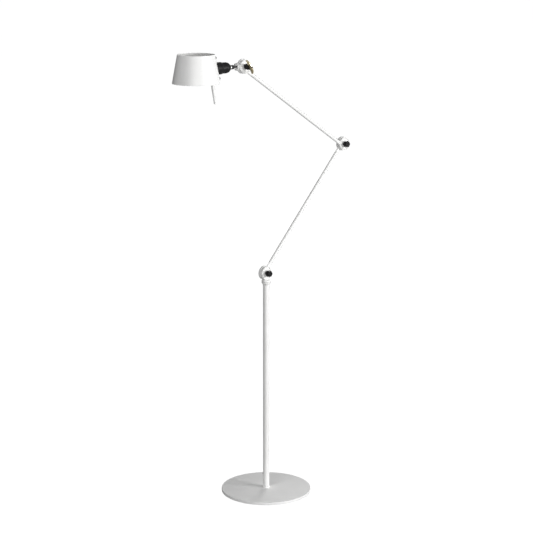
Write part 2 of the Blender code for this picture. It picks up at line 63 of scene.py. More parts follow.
# Places and sizes that the frame gives.
SEAM, KNEE, ELBOW = JOINT_AT["pole_swivel"], JOINT_AT["knee"], JOINT_AT["elbow"]
HEAD, ROLL = JOINT_AT["head_tilt"], JOINT_AT["shade_roll"]
BACK_Y = ROLL.y
POLE_RADIUS = size_of("pole_tube").x / 2
FRONT_DISC_RADIUS = size_of("upper_arm_root_disc").x / 2
BACK_DISC_RADIUS = size_of("lower_arm_root_disc").x / 2
DISC_THICKNESS = size_of("upper_arm_root_disc").y
SHADE_LOW, SHADE_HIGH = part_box("shade")[0].z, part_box("shade")[1].z
SHADE_CENTRE = Vector(((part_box("shade")[0].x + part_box("shade")[1].x) / 2, BACK_Y, HEAD.z))
SHADE_BOTTOM_RADIUS = size_of("shade").x / 2
KNOB_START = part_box("knee_knob")[1].y
KNOB_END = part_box("knee_knob")[0].y

# Sizes that no box shows.
GAP = 0.0003
POLE_WALL = 0.0015
ARM_RADIUS = 0.0070
ARM_WALL = 0.0012
UPPER_TUBE_DROP = 0.008
COLLAR_RADIUS = 0.0178
SPIGOT_RADIUS = 0.0088
DISC_WALL = 0.0042
DISC_FACE = 0.0020
BOSS_RADIUS = 0.0066
BOLT_RADIUS = 0.0029
BORE_RADIUS = 0.0032
LEAD_HOLE = 0.0027
LINE_INSET = 0.0023
LINE_WIDTH = 0.0022
LINE_DEPTH = 0.0032
WELD_RADIUS = 0.0009
KNOB_RADIUS = 0.0124
KNOB_BORE_DEPTH = 0.0128
KNOB_LOBES = 6
LOBE_HALF_SHARE = 0.048  # Half the depth of a lobe, as a share of the knob's radius.
WING_HALF_SPAN = 0.030
WING_THICKNESS = 0.0044
WING_LEAN = math.radians(30.0)
BELL_RADIUS = 0.0142
STEM_RADIUS = 0.0030
HOLDER_RADIUS = 0.0203
SKIRT_RADIUS = 0.0225
SHADE_TOP_RADIUS = 0.0683
SHADE_WALL = 0.0012
BULB_HOLE_RADIUS = 0.0165
SHADE_BOLT_ANGLE = math.radians(27.0)
SHADE_BOLT_HEIGHTS = (0.0425, -0.0315)
HANDLE_INSET = 0.0120

UP = (0.0, 0.0, 0.0)
FORWARD = (math.pi / 2, 0.0, 0.0)
BACKWARD = (-math.pi / 2, 0.0, 0.0)
ALONG_X = (0.0, math.pi / 2, 0.0)
TO_SHADE = (0.0, -math.pi / 2, 0.0)


# Finishes: each is a Principled shader whose colour, roughness and relief vary in the piece's own space.

class Finish:
    def __init__(self, name, colour, roughness, metallic=0.0):
        self.material = bpy.data.materials.new(name)
        self.material.use_nodes = True
        self.nodes = self.material.node_tree.nodes
        self.links = self.material.node_tree.links
        self.shader = self.nodes["Principled BSDF"]
        self.shader.inputs["Base Color"].default_value = (*colour, 1.0)
        self.shader.inputs["Roughness"].default_value = roughness
        self.shader.inputs["Metallic"].default_value = metallic
        self.colour = colour
        self.place = self.nodes.new("ShaderNodeTexCoord").outputs["Object"]
        self.normal = None

    def set(self, socket, value):
        self.shader.inputs[socket].default_value = value

    def noise(self, scale, detail=3.0, stretch=(1.0, 1.0, 1.0), roughness=0.5):
        """Noise with scale features to the metre, drawn out along the axes where stretch is small."""
        mapping = self.nodes.new("ShaderNodeMapping")
        mapping.inputs["Scale"].default_value = stretch
        self.links.new(self.place, mapping.inputs["Vector"])
        noise = self.nodes.new("ShaderNodeTexNoise")
        noise.inputs["Scale"].default_value = scale
        noise.inputs["Detail"].default_value = detail
        noise.inputs["Roughness"].default_value = roughness
        self.links.new(mapping.outputs["Vector"], noise.inputs["Vector"])
        return noise.outputs["Fac"]

    def lathe_lines(self, scale):
        """Noise in rings round the piece's own Z axis, as a turning tool leaves it."""
        split = self.nodes.new("ShaderNodeSeparateXYZ")
        self.links.new(self.place, split.inputs["Vector"])
        flat = self.nodes.new("ShaderNodeCombineXYZ")
        self.links.new(split.outputs["X"], flat.inputs["X"])
        self.links.new(split.outputs["Y"], flat.inputs["Y"])
        length = self.nodes.new("ShaderNodeVectorMath")
        length.operation = "LENGTH"
        self.links.new(flat.outputs["Vector"], length.inputs[0])
        along = self.nodes.new("ShaderNodeMath")
        along.operation = "ADD"
        self.links.new(length.outputs["Value"], along.inputs[0])
        self.links.new(split.outputs["Z"], along.inputs[1])
        noise = self.nodes.new("ShaderNodeTexNoise")
        noise.noise_dimensions = "1D"
        noise.inputs["Scale"].default_value = scale
        noise.inputs["Detail"].default_value = 2.0
        self.links.new(along.outputs["Value"], noise.inputs["W"])
        return noise.outputs["Fac"]

    def ramp(self, source, low, high, start=0.35, end=0.65):
        """The source's middle range, spread between two values."""
        spread = self.nodes.new("ShaderNodeMapRange")
        spread.inputs["From Min"].default_value = start
        spread.inputs["From Max"].default_value = end
        spread.inputs["To Min"].default_value = low
        spread.inputs["To Max"].default_value = high
        self.links.new(source, spread.inputs["Value"])
        return spread.outputs["Result"]

    def tint(self, source, other, start=0.35, end=0.65):
        """Changes the colour toward another where the source is high."""
        mix = self.nodes.new("ShaderNodeMix")
        mix.data_type = "RGBA"
        mix.inputs["A"].default_value = (*self.colour, 1.0)
        mix.inputs["B"].default_value = (*other, 1.0)
        self.links.new(self.ramp(source, 0.0, 1.0, start, end), mix.inputs["Factor"])
        self.links.new(mix.outputs["Result"], self.shader.inputs["Base Color"])

    def vary_roughness(self, source, low, high, start=0.35, end=0.65):
        self.links.new(self.ramp(source, low, high, start, end), self.shader.inputs["Roughness"])

    def relief(self, source, depth):
        """Adds a bump of that depth in metres over the ones before it."""
        bump = self.nodes.new("ShaderNodeBump")
        bump.inputs["Distance"].default_value = depth
        self.links.new(source, bump.inputs["Height"])
        if self.normal:
            self.links.new(self.normal, bump.inputs["Normal"])
        self.normal = bump.outputs["Normal"]
        self.links.new(self.normal, self.shader.inputs["Normal"])


def white_paint():
    """Satin powder coat: a faint orange peel, finer grain in it, and a hardly visible change of tone."""
    finish = Finish("white_powder_coat", (0.86, 0.86, 0.855), 0.42)
    finish.tint(finish.noise(14.0), (0.82, 0.82, 0.81))
    finish.vary_roughness(finish.noise(60.0), 0.36, 0.48)
    finish.relief(finish.noise(750.0, detail=1.0), 0.000035)
    finish.relief(finish.noise(3500.0, detail=2.0), 0.000006)
    return finish.material


def base_paint():
    """Matte powder coat with a sandy grain, a few polished patches and faint scuffs."""
    finish = Finish("base_powder_coat", (0.86, 0.86, 0.855), 0.60)
    finish.tint(finish.noise(9.0, detail=5.0), (0.82, 0.82, 0.815))
    finish.vary_roughness(finish.noise(25.0, detail=5.0), 0.52, 0.68)
    finish.relief(finish.noise(1300.0, detail=3.0, roughness=0.6), 0.00012)
    finish.relief(finish.noise(40.0, stretch=(1.0, 9.0, 1.0)), 0.00001)
    return finish.material


def shade_paint():
    """Smooth satin coat on spun sheet, with the spinning lines showing faintly through it."""
    finish = Finish("shade_powder_coat", (0.87, 0.87, 0.865), 0.40)
    finish.tint(finish.noise(11.0), (0.84, 0.84, 0.83))
    finish.vary_roughness(finish.noise(50.0), 0.35, 0.46)
    finish.relief(finish.noise(800.0, detail=1.0), 0.00003)
    finish.relief(finish.lathe_lines(420.0), 0.00002)
    return finish.material


def black_plastic():
    """Moulded plastic with a fine spark-eroded grain, duller where it is handled."""
    finish = Finish("black_plastic", (0.008, 0.008, 0.009), 0.40)
    finish.set("Specular IOR Level", 0.16)
    finish.tint(finish.noise(90.0, detail=5.0), (0.013, 0.013, 0.014))
    finish.vary_roughness(finish.noise(140.0, detail=4.0), 0.32, 0.50)
    finish.relief(finish.noise(4200.0, detail=2.0), 0.00002)
    return finish.material


def brass():
    """Pale brushed brass: long scratches along Z and an olive patina in patches."""
    finish = Finish("brass", (0.88, 0.76, 0.50), 0.28, 1.0)
    finish.tint(finish.noise(110.0, detail=5.0), (0.70, 0.60, 0.36), 0.45, 0.80)
    finish.vary_roughness(finish.noise(1500.0, stretch=(1.0, 1.0, 0.05)), 0.28, 0.38)
    finish.relief(finish.noise(5000.0, detail=2.0, stretch=(1.0, 1.0, 0.02)), 0.000012)
    return finish.material


def bright_steel():
    """Turned steel with fine tool rings."""
    finish = Finish("bright_steel", (0.62, 0.62, 0.61), 0.28, 1.0)
    finish.tint(finish.noise(180.0, detail=4.0), (0.50, 0.50, 0.49))
    finish.vary_roughness(finish.lathe_lines(3000.0), 0.20, 0.36)
    finish.relief(finish.lathe_lines(5000.0), 0.000010)
    return finish.material


def black_steel():
    """Black oxide over machined steel, rubbed a little lighter in places."""
    finish = Finish("black_steel", (0.016, 0.016, 0.017), 0.45, 0.5)
    finish.set("Specular IOR Level", 0.25)
    finish.tint(finish.noise(260.0, detail=5.0), (0.055, 0.054, 0.052), 0.50, 0.85)
    finish.vary_roughness(finish.noise(500.0, detail=3.0), 0.34, 0.52)
    finish.relief(finish.noise(5000.0, detail=2.0), 0.000010)
    return finish.material


def felt():
    """Pressed felt: matted fibres with a soft sheen."""
    finish = Finish("felt", (0.085, 0.085, 0.088), 0.95)
    finish.set("Sheen Weight", 0.35)
    finish.set("Sheen Roughness", 0.6)
    finish.tint(finish.noise(900.0, detail=6.0), (0.15, 0.15, 0.155))
    finish.relief(finish.noise(1800.0, detail=6.0, roughness=0.7), 0.0003)
    return finish.material


def grey_nylon():
    """Nylon with flow marks."""
    finish = Finish("grey_nylon", (0.40, 0.40, 0.40), 0.50)
    finish.set("Subsurface Weight", 0.1)
    finish.tint(finish.noise(120.0, stretch=(1.0, 1.0, 0.2)), (0.34, 0.34, 0.345))
    finish.vary_roughness(finish.noise(300.0), 0.42, 0.58)
    finish.relief(finish.noise(3000.0), 0.00001)
    return finish.material


def cable_sheath():
    """Soft matte plastic with slight extrusion waves."""
    finish = Finish("cable_sheath", (0.78, 0.78, 0.76), 0.55)
    finish.tint(finish.noise(60.0), (0.72, 0.72, 0.69))
    finish.vary_roughness(finish.noise(200.0), 0.48, 0.62)
    finish.relief(finish.noise(900.0), 0.00002)
    return finish.material


def frosted_glass():
    """Opal glass: milky, softly see-through, with an even etched surface."""
    finish = Finish("frosted_glass", (0.93, 0.93, 0.91), 0.30)
    finish.set("Transmission Weight", 0.35)
    finish.set("IOR", 1.5)
    finish.tint(finish.noise(30.0), (0.90, 0.90, 0.885))
    finish.vary_roughness(finish.noise(1500.0), 0.26, 0.36)
    finish.relief(finish.noise(5000.0), 0.000006)
    return finish.material


FINISH = {
    "white_paint": white_paint(),
    "base_paint": base_paint(),
    "shade_paint": shade_paint(),
    "black_plastic": black_plastic(),
    "brass": brass(),
    "bright_steel": bright_steel(),
    "black_steel": black_steel(),
    "felt": felt(),
    "grey_nylon": grey_nylon(),
    "cable_sheath": cable_sheath(),
    "frosted_glass": frosted_glass(),
}


# Outlines and solids.

def arc(centre, radius, start, end, count):
    """Points on an arc in (radius, height), angles in degrees."""
    angles = [math.radians(start + (end - start) * i / (count - 1)) for i in range(count)]
    return [(centre[0] + radius * math.cos(a), centre[1] + radius * math.sin(a)) for a in angles]


def rounded(corners, closed=True, steps=5):
    """An outline through (radius, height) corners, filleted where a corner has a third value."""
    points = []
    last = len(corners) - 1
    for i, corner in enumerate(corners):
        here = Vector(corner[:2])
        if len(corner) < 3 or (not closed and i in (0, last)):
            points.append(tuple(here))
            continue
        back = (Vector(corners[i - 1][:2]) - here).normalized()
        onward = (Vector(corners[(i + 1) % len(corners)][:2]) - here).normalized()
        half = back.angle(onward) / 2
        centre = here + (back + onward).normalized() * corner[2] / math.sin(half)
        first = (here + back * corner[2] / math.tan(half) - centre).normalized()
        final = (here + onward * corner[2] / math.tan(half) - centre).normalized()
        points += [tuple(centre + first.slerp(final, k / steps) * corner[2]) for k in range(steps + 1)]
    return points


def spot(at=(0, 0, 0), turn=UP, base=Matrix()):
    """The frame of a piece at a place and turn within another frame."""
    return base @ Matrix.Translation(at) @ Euler(turn).to_matrix().to_4x4()


def new_object(name, mesh, where):
    obj = bpy.data.objects.new(name, mesh)
    bpy.context.scene.collection.objects.link(obj)
    obj.matrix_world = where
    return obj


def settle(obj):
    """Turns the modifiers' result into the object's own mesh."""
    bpy.context.view_layer.update()
    evaluated = obj.evaluated_get(bpy.context.evaluated_depsgraph_get())
    mesh = bpy.data.meshes.new_from_object(evaluated)
    obj.modifiers.clear()
    obj.data = mesh
    return obj


def turned(name, outline, where, closed=True, steps=64, angle=2 * math.pi):
    """A turned solid. The outline runs down its outer side."""
    mesh = bpy.data.meshes.new(name)
    edges = [(i, i + 1) for i in range(len(outline) - 1)]
    if closed:
        edges.append((len(outline) - 1, 0))
    mesh.from_pydata([(radius, 0.0, height) for radius, height in outline], edges, [])
    obj = new_object(name, mesh, where)
    screw = obj.modifiers.new("Turn", "SCREW")
    screw.angle = angle
    screw.steps = steps
    screw.render_steps = steps
    screw.use_merge_vertices = True
    screw.merge_threshold = 0.000005
    return settle(obj)


def solid_from(name, body, where):
    """An object from loose mesh code."""
    bmesh.ops.recalc_face_normals(body, faces=body.faces)
    mesh = bpy.data.meshes.new(name)
    body.to_mesh(mesh)
    body.free()
    return new_object(name, mesh, where)


def prism(sides, radius, low, high, where, turn=0.0):
    """A prism along Z, used to cut sockets and to shape nuts."""
    body = bmesh.new()
    place = Matrix.Translation((0, 0, (low + high) / 2)) @ Matrix.Rotation(turn, 4, "Z")
    bmesh.ops.create_cone(body, cap_ends=True, segments=sides, radius1=radius, radius2=radius,
                          depth=high - low, matrix=place)
    return solid_from("helper", body, where)


def block(size, centre, where):
    """A box, used to cut slots and to add tabs."""
    body = bmesh.new()
    bmesh.ops.create_cube(body, size=1.0, matrix=Matrix.Translation(centre) @ Matrix.Diagonal((*size, 1.0)))
    return solid_from("helper", body, where)


def combine(obj, other, operation="DIFFERENCE"):
    """Cuts or joins at once, and removes the other solid."""
    boolean = obj.modifiers.new("Combine", "BOOLEAN")
    boolean.operation = operation
    boolean.object = other
    settle(obj)
    bpy.data.objects.remove(other, do_unlink=True)
    return obj


def soften(obj, width, segments=3, limit=35.0):
    """Rounds the sharp edges by that width."""
    bevel = obj.modifiers.new("Soften", "BEVEL")
    bevel.width = width
    bevel.segments = segments
    bevel.limit_method = "ANGLE"
    bevel.angle_limit = math.radians(limit)
    bevel.harden_normals = False
    return settle(obj)


def stand_for(obj, node):
    """The piece takes a CAD node's place on the node's body, in the finish of the node's material slot, and the
    CAD node is hidden.
    """
    slot = SLOT_OF[node]
    obj.data.materials.clear()
    obj.data.materials.append(FINISH[slot])
    if obj.type == "MESH":
        obj.data.shade_smooth()
        obj.data.set_sharp_from_angle(angle=math.radians(30))
    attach(obj, BODY_OF[node])
    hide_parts(node)
    return obj


def trim(obj, node):
    """A small piece that goes with a CAD node, in the same finish and on the same body."""
    obj.data.materials.append(FINISH[SLOT_OF[node]])
    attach(obj, BODY_OF[node])
    return obj


# Base and pole.

def make_base():
    low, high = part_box("base_plate")
    bore, recess, recess_top = 0.0056, 0.0105, 0.0068
    outline = rounded([(bore, high.z), (high.x, high.z, 0.0016), (high.x, low.z, 0.0008), (recess, low.z),
                       (recess, recess_top), (bore, recess_top)])
    stand_for(turned("base_plate_fine", outline, spot(), steps=256), "base_plate")
    radius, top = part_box("base_pad")[1].x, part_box("base_pad")[1].z
    pad = rounded([(0.0, top), (radius, top, 0.0004), (radius, 0.0, 0.0004), (0.0, 0.0)], closed=False)
    stand_for(turned("base_pad_fine", pad, spot(), closed=False, steps=192), "base_pad")


def make_pole():
    low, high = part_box("pole_tube")
    inner = POLE_RADIUS - POLE_WALL
    tube = turned("pole_tube_fine", [(inner, high.z), (POLE_RADIUS, high.z), (POLE_RADIUS, low.z),
                                     (inner, low.z)], spot(), steps=96)
    grommet_at = spot((0, 0, sum(corner.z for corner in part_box("cord_grommet")) / 2), BACKWARD)
    combine(tube, prism(40, 0.0043, 0.006, 0.020, grommet_at))
    stand_for(tube, "pole_tube")

    foot_low, foot_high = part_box("pole_foot_ring")
    seat = POLE_RADIUS + 0.0001
    foot = rounded([(seat, foot_high.z), (0.0147, foot_high.z, 0.0012), (foot_high.x, foot_low.z, 0.0003),
                    (seat, foot_low.z)])
    stand_for(turned("pole_foot_ring_fine", foot, spot(), steps=96), "pole_foot_ring")

    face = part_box("cord_grommet")[1].y
    grommet = rounded([(0.0024, face, 0.0003), (0.0056, face, 0.0009), (0.0056, 0.0127, 0.0002),
                       (0.0040, 0.0127), (0.0040, 0.0098), (0.0024, 0.0098)])
    stand_for(turned("cord_grommet_fine", grommet, grommet_at, steps=40), "cord_grommet")


def make_collar():
    """The rounded collar under the swivel's seam."""
    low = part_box("pole_collar")[0].z - SEAM.z
    seat = POLE_RADIUS + 0.0001
    bore = SPIGOT_RADIUS + GAP
    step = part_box("pole_tube")[1].z + GAP - SEAM.z
    outline = [(bore, 0.0), (COLLAR_RADIUS - 0.0022, 0.0), (COLLAR_RADIUS - 0.0010, -0.0004),
               (COLLAR_RADIUS - 0.0003, -0.0010)]
    outline += arc((COLLAR_RADIUS - 0.0074, -0.0026), 0.0074, 6, -64, 14)
    outline += [(POLE_RADIUS + 0.0007, low + 0.0002), (POLE_RADIUS + 0.0004, low), (seat, low), (seat, step),
                (bore, step)]
    stand_for(turned("pole_collar_fine", outline, spot(SEAM), steps=96), "pole_collar")


def loft(name, sections, where, around=48):
    """A closed solid through superellipse sections (height, half width, half depth, exponent)."""
    body = bmesh.new()
    rings = []
    for height, wide, deep, power in sections:
        ring = []
        for i in range(around):
            c, s = math.cos(2 * math.pi * i / around), math.sin(2 * math.pi * i / around)
            x = math.copysign(abs(c) ** (2 / power), c) * wide
            y = math.copysign(abs(s) ** (2 / power), s) * deep
            ring.append(body.verts.new((x, y, height)))
        rings.append(ring)
    for ring, upper in zip(rings, rings[1:]):
        for i in range(around):
            j = (i + 1) % around
            body.faces.new((ring[i], ring[j], upper[j], upper[i]))
    body.faces.new(list(reversed(rings[0])))
    body.faces.new(rings[-1])
    return solid_from(name, body, where)


def make_knuckle():
    """The turning half of the collar, a cast neck and the front disc of the knee, in one piece."""
    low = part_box("pole_knuckle")[0].z - SEAM.z
    dome = [(0.0, 0.0078), (0.0125, 0.0078)]
    dome += arc((COLLAR_RADIUS - 0.0056, GAP + 0.0020), 0.0056, 74, 0, 14)
    dome += [(COLLAR_RADIUS - 0.0003, GAP + 0.0011), (COLLAR_RADIUS - 0.0010, GAP + 0.0004),
             (COLLAR_RADIUS - 0.0022, GAP), (SPIGOT_RADIUS, GAP), (SPIGOT_RADIUS, low), (0.0, low)]
    where = spot(SEAM)
    knuckle = turned("pole_knuckle_fine", dome, where, closed=False, steps=96)
    knee = KNEE.z - SEAM.z
    sections = []
    for i in range(13):
        share = i / 12
        flare = (1 - share) ** 2.5
        spread = share ** 3
        sections.append((0.0052 + 0.0115 * share, 0.0092 + 0.0034 * flare + 0.0026 * spread,
                         0.0044 + 0.0040 * flare, 4.5 - 2.0 * flare))
    combine(knuckle, loft("neck", sections, where), "UNION")
    back = spot((0, 0, knee), BACKWARD, where)
    combine(knuckle, prism(96, BACK_DISC_RADIUS + 2 * GAP, 0.0048, 0.030, back))
    disc = turned("disc", disc_outline(FRONT_DISC_RADIUS), spot((0, 0, knee), FORWARD, where), steps=96)
    combine(knuckle, disc, "UNION")
    combine(knuckle, prism(24, LEAD_HOLE, low - 0.01, knee - 0.0130, where))
    combine(knuckle, prism(32, BORE_RADIUS, -0.01, 0.01, spot((0, 0, knee), FORWARD, where)))
    stand_for(knuckle, "pole_knuckle")


# Disc joints.

def disc_outline(radius):
    """A hollow disc, open toward the one that it is clamped to, with a turned line inside its rim."""
    half = DISC_THICKNESS / 2
    floor = half - DISC_FACE
    line, line_width, line_depth = radius - LINE_INSET, LINE_WIDTH, LINE_DEPTH
    return rounded([(BORE_RADIUS, half, 0.0002), (line - line_width / 2, half, 0.0002),
                    (line - line_width / 2, half - line_depth), (line + line_width / 2, half - line_depth),
                    (line + line_width / 2, half, 0.0002), (radius, half, 0.0008), (radius, -half, 0.0011),
                    (radius - DISC_WALL, -half, 0.0004), (radius - DISC_WALL, floor, 0.0008),
                    (BOSS_RADIUS, floor, 0.0008), (BOSS_RADIUS, -half, 0.0003), (BORE_RADIUS, -half)])


def make_disc(node, at, radius, turn):
    stand_for(turned(node + "_fine", disc_outline(radius), spot(at, turn), steps=96), node)


def make_clamp(joint, at):
    """The bolt with its socket head at the back and the washer in front."""
    front = DISC_THICKNESS / 2 + GAP
    back = BACK_Y + front
    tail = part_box(joint + "_bolt")[0].y - at.y
    head = rounded([(0.0, back + 0.0042), (0.0048, back + 0.0042, 0.0022), (0.0080, back + 0.0016, 0.0010),
                    (0.0080, back, 0.0002), (BOLT_RADIUS, back), (BOLT_RADIUS, tail, 0.0006), (0.0, tail)],
                   closed=False)
    bolt = turned(joint + "_bolt_fine", head, spot(at, BACKWARD), closed=False)
    combine(bolt, prism(6, 0.0029, back + 0.0014, back + 0.0060, spot(at, BACKWARD)))
    stand_for(bolt, joint + "_bolt")
    ring = rounded([(BORE_RADIUS, front + 0.0012, 0.0002), (0.0088, front + 0.0012, 0.0004),
                    (0.0088, front, 0.0001), (BORE_RADIUS, front)])
    stand_for(turned(joint + "_washer_fine", ring, spot(at, FORWARD)), joint + "_washer")


def smooth(value, low, high):
    share = min(1.0, max(0.0, (value - low) / (high - low)))
    return share * share * (3 - 2 * share)


def make_knob(node, at):
    """A six-lobed knob with a shallow dish in its face."""
    depth = KNOB_START - KNOB_END
    reach = KNOB_RADIUS
    outline = rounded([(0.0, depth - 0.0007), (reach * 0.50, depth - 0.0007, 0.0008),
                       (reach * 0.62, depth, 0.0010), (reach * 0.98, depth, 0.0028),
                       (reach, 0.0040, 0.0022), (reach * 0.75, 0.0018, 0.0012), (reach * 0.74, 0.0, 0.0002),
                       (BORE_RADIUS, 0.0), (BORE_RADIUS, KNOB_BORE_DEPTH), (0.0, KNOB_BORE_DEPTH)],
                      closed=False)
    knob = turned(node + "_fine", outline, spot(at + Vector((0, KNOB_START, 0)), FORWARD), closed=False,
                  steps=144)
    for vertex in knob.data.vertices:
        out = math.hypot(vertex.co.x, vertex.co.y)
        lobe = LOBE_HALF_SHARE * (1.0 - math.cos(KNOB_LOBES * math.atan2(vertex.co.y, vertex.co.x)))
        lobe *= smooth(out, reach * 0.66, reach * 0.95)
        vertex.co.x *= 1.0 - lobe
        vertex.co.y *= 1.0 - lobe
    stand_for(knob, node)


def make_wing_nut():
    """A black hub, a half-moon wing of brass and the slotted end of its screw."""
    depth = KNOB_START - KNOB_END
    hub = rounded([(0.0, depth), (0.0106, depth, 0.0014), (0.0110, 0.0028, 0.0014), (0.0096, 0.0, 0.0004),
                   (BORE_RADIUS, 0.0), (BORE_RADIUS, KNOB_BORE_DEPTH), (0.0, KNOB_BORE_DEPTH)], closed=False)
    stand_for(turned("wing_hub_fine", hub, spot(HEAD + Vector((0, KNOB_START, 0)), FORWARD), closed=False,
                     steps=96), "wing_hub")

    low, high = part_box("wing_plate")
    deep = high.y - low.y
    body = bmesh.new()
    bmesh.ops.create_cone(body, cap_ends=True, segments=128, radius1=WING_HALF_SPAN, radius2=WING_HALF_SPAN,
                          depth=WING_THICKNESS, matrix=Matrix.Rotation(math.pi / 2, 4, "Y"))
    bmesh.ops.bisect_plane(body, geom=body.verts[:] + body.edges[:] + body.faces[:], plane_co=(0, 0, 0),
                           plane_no=(0, -1, 0), clear_inner=True)
    bmesh.ops.contextual_create(body, geom=[edge for edge in body.edges if edge.is_boundary])
    bmesh.ops.scale(body, vec=(1, deep / WING_HALF_SPAN, 1), verts=body.verts)
    wing = solid_from("wing_plate_fine", body, spot((HEAD.x, high.y, HEAD.z), (0, -WING_LEAN, 0)))
    stand_for(soften(wing, 0.0009, 4), "wing_plate")

    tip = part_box("wing_screw")[1].y
    end = rounded([(0.0, 0.0016), (0.0030, 0.0016, 0.0009), (0.0030, 0.0), (0.0, 0.0)], closed=False)
    where = spot((HEAD.x, tip, HEAD.z), FORWARD)
    screw = turned("wing_screw_fine", end, where, closed=False, steps=40)
    combine(screw, block((0.0008, 0.0080, 0.0016), (0, 0, 0.0018), where))
    stand_for(screw, "wing_screw")


# Arms.

def arm_frame(root, tip):
    """A frame at the root joint with +X along the arm and the lamp's own +Y."""
    along = (tip - root).normalized()
    across = Vector((0, 1, 0))
    return Matrix.Translation(root) @ Matrix((along, across, along.cross(across))).transposed().to_4x4()


def make_arm(prefix, root, tip, disc_y, disc_radius, disc_turn, drop):
    """A tube pressed flat at both ends, coped to the discs and welded to their rims."""
    base = arm_frame(root, tip)
    length = (tip - root).length
    half = DISC_THICKNESS / 2
    start, flat_end, round_start = 0.015, 0.036, 0.054
    near = [start, flat_end] + [flat_end + (round_start - flat_end) * i / 10 for i in range(1, 11)]
    heights = [length - s for s in near] + list(reversed(near))
    outer = [(ARM_RADIUS, h) for h in heights]
    inner = [(ARM_RADIUS - ARM_WALL, h) for h in reversed(heights)]
    tube = turned(prefix + "_tube_fine", outer + inner, spot((0, disc_y, drop), ALONG_X, base))
    for vertex in tube.data.vertices:
        flat = 1 - smooth(min(vertex.co.z, length - vertex.co.z), flat_end, round_start)
        vertex.co.y *= 1 - flat * (1 - half / ARM_RADIUS)
    for along in (0.0, length):
        combine(tube, prism(96, disc_radius - 0.0002, -0.02, 0.02, spot((along, disc_y, 0), FORWARD, base)))
    stand_for(tube, prefix + "_tube")
    for name, along, side in (("root", 0.0, 1), ("tip", length, -1)):
        node = f"{prefix}_{name}_disc"
        make_disc(node, base @ Vector((along, disc_y, 0)), disc_radius, disc_turn)
        make_weld(node, base, along, side, disc_y, disc_radius, drop)


def make_weld(node, base, along, side, disc_y, disc_radius, drop):
    """The fillet of weld where the tube meets the rim of its disc."""
    count = 72
    points = []
    for i in range(count):
        angle = 2 * math.pi * i / count
        height = drop + (ARM_RADIUS + 0.0001) * math.cos(angle)
        depth = (DISC_THICKNESS / 2 - 0.0010) * math.sin(angle)
        reach = math.sqrt((disc_radius + 0.0001) ** 2 - height ** 2)
        points.append(base @ Vector((along + side * reach, disc_y + depth, height)))
    curve = bpy.data.curves.new(node + "_weld", "CURVE")
    curve.dimensions = "3D"
    curve.bevel_depth = WELD_RADIUS
    curve.bevel_resolution = 3
    spline = curve.splines.new("POLY")
    spline.points.add(count - 1)
    spline.use_cyclic_u = True
    for point, place in zip(spline.points, points):
        point.co = (*place, 1.0)
        point.radius = 0.85 + 0.15 * math.sin(7 * place.x * 1000)
    spline.use_smooth = True
    trim(new_object(node + "_weld", curve, Matrix()), node)


# Lamp head, along -X from the head joint.

def make_head():
    disc = turned("head_disc_fine", disc_outline(BACK_DISC_RADIUS), spot(ROLL, BACKWARD), steps=96)
    along = spot(ROLL, TO_SHADE)
    start = 0.0257
    mouth = HEAD.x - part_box("head_disc")[0].x
    wall = 0.0015
    bend = 0.0045
    bell = rounded([(0.0, mouth), (BELL_RADIUS, mouth, 0.0004), (BELL_RADIUS, start, bend), (0.0, start)],
                   closed=False, steps=8)
    combine(disc, turned("bell", bell, along, closed=False, steps=80), "UNION")
    hollow = rounded([(0.0, mouth + 0.002), (BELL_RADIUS - wall, mouth + 0.002),
                      (BELL_RADIUS - wall, start + 2 * wall, bend - wall), (0.0, start + 2 * wall)],
                     closed=False, steps=8)
    combine(disc, turned("hollow", hollow, along, closed=False, steps=80))
    combine(disc, prism(40, STEM_RADIUS + GAP, 0.016, mouth + 0.001, along))
    stand_for(disc, "head_disc")
    stem_low = 0.0215
    stem_high = HEAD.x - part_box("swivel_stem")[0].x
    stem = rounded([(0.0016, stem_high), (STEM_RADIUS, stem_high, 0.0003), (STEM_RADIUS, stem_low, 0.0003),
                    (0.0016, stem_low)])
    stand_for(turned("swivel_stem_fine", stem, along, steps=40), "swivel_stem")


def span_of(node):
    """Where a piece of the head starts and ends, measured from the head joint toward the shade."""
    low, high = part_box(node)
    return HEAD.x - high.x, HEAD.x - low.x


def wall_radius(height):
    """The shade's outer radius at a height above the holder's axis."""
    share = (SHADE_HIGH - HEAD.z - height) / (SHADE_HIGH - SHADE_LOW)
    return SHADE_TOP_RADIUS + (SHADE_BOTTOM_RADIUS - SHADE_TOP_RADIUS) * share


